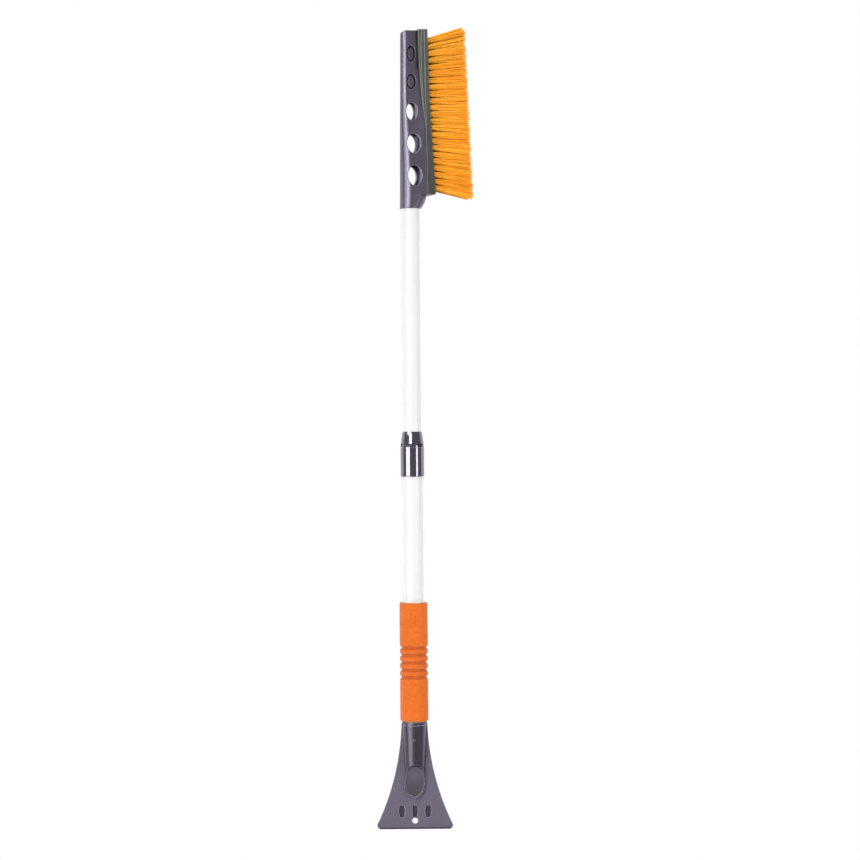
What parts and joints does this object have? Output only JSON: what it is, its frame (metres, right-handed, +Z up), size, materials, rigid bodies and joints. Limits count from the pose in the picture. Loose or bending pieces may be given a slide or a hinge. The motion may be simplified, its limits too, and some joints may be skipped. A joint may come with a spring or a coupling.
{
  "type": "windshield ice scraper",
  "caption": "Telescopic snow brush with a flared ice scraper blade at the foot, a foam grip on the lower tube and a bristle head that turns on a twist-lock inner tube.",
  "frame": {"origin": "centre of the hang hole in the scraper blade, in the middle of the blade's thickness", "axes": "+Z up along the handle axis towards the brush head; -Y out of the blade's front face; +X to the right seen from the front, the side the bristles are on"},
  "size_m": [0.1223, 0.0543, 0.9733],
  "materials": {
    "charcoal_plastic": "satin moulded charcoal",
    "block_plastic": "matt moulded dark grey",
    "collar_plastic": "gloss moulded charcoal",
    "natural_plastic": "plain unpigmented moulding",
    "white_tube": "white powder coat",
    "orange_foam": "closed-cell foam",
    "bristle": "crimped filament",
    "steel": "plain zinc plated"
  },
  "bodies": {
    "handle": {"scraper": "charcoal_plastic", "scraper_rivet": "steel", "outer_tube": "white_tube", "foam_grip": "orange_foam", "collar_shell": "collar_plastic", "guide_bush": "charcoal_plastic"},
    "expander": {"expander_sleeve": "natural_plastic"},
    "cone": {"expander_cone": "natural_plastic"},
    "brush": {"inner_tube": "white_tube", "expander_plug": "natural_plastic", "expander_stud": "steel", "stud_clip": "steel", "brush_head": "charcoal_plastic", "head_rivet": "steel", "bristle_block": "block_plastic", "tuft_anchors": "steel", "bristle_row_1": "bristle", "bristle_row_2": "bristle", "bristle_row_3": "bristle", "bristle_row_4": "bristle"}
  },
  "joints": [
    {"name": "telescope_slide", "type": "slide", "parent": "handle", "child": "expander", "axis": [0, 0, 1], "range_m": [-0.27, 0]},
    {"name": "brush_turn", "type": "hinge", "parent": "expander", "child": "brush", "pos_m": [0, 0, 0.43], "axis": [0, 0, 1], "range_deg": [0, 180]},
    {"name": "cone_travel", "type": "slide", "parent": "expander", "child": "cone", "axis": [0, 0, 1], "range_m": [-0.0016, 0]}
  ],
  "couplings": [
    {"joint": "cone_travel", "follows": "brush_turn", "m_per_rad": -0.000477}
  ]
}
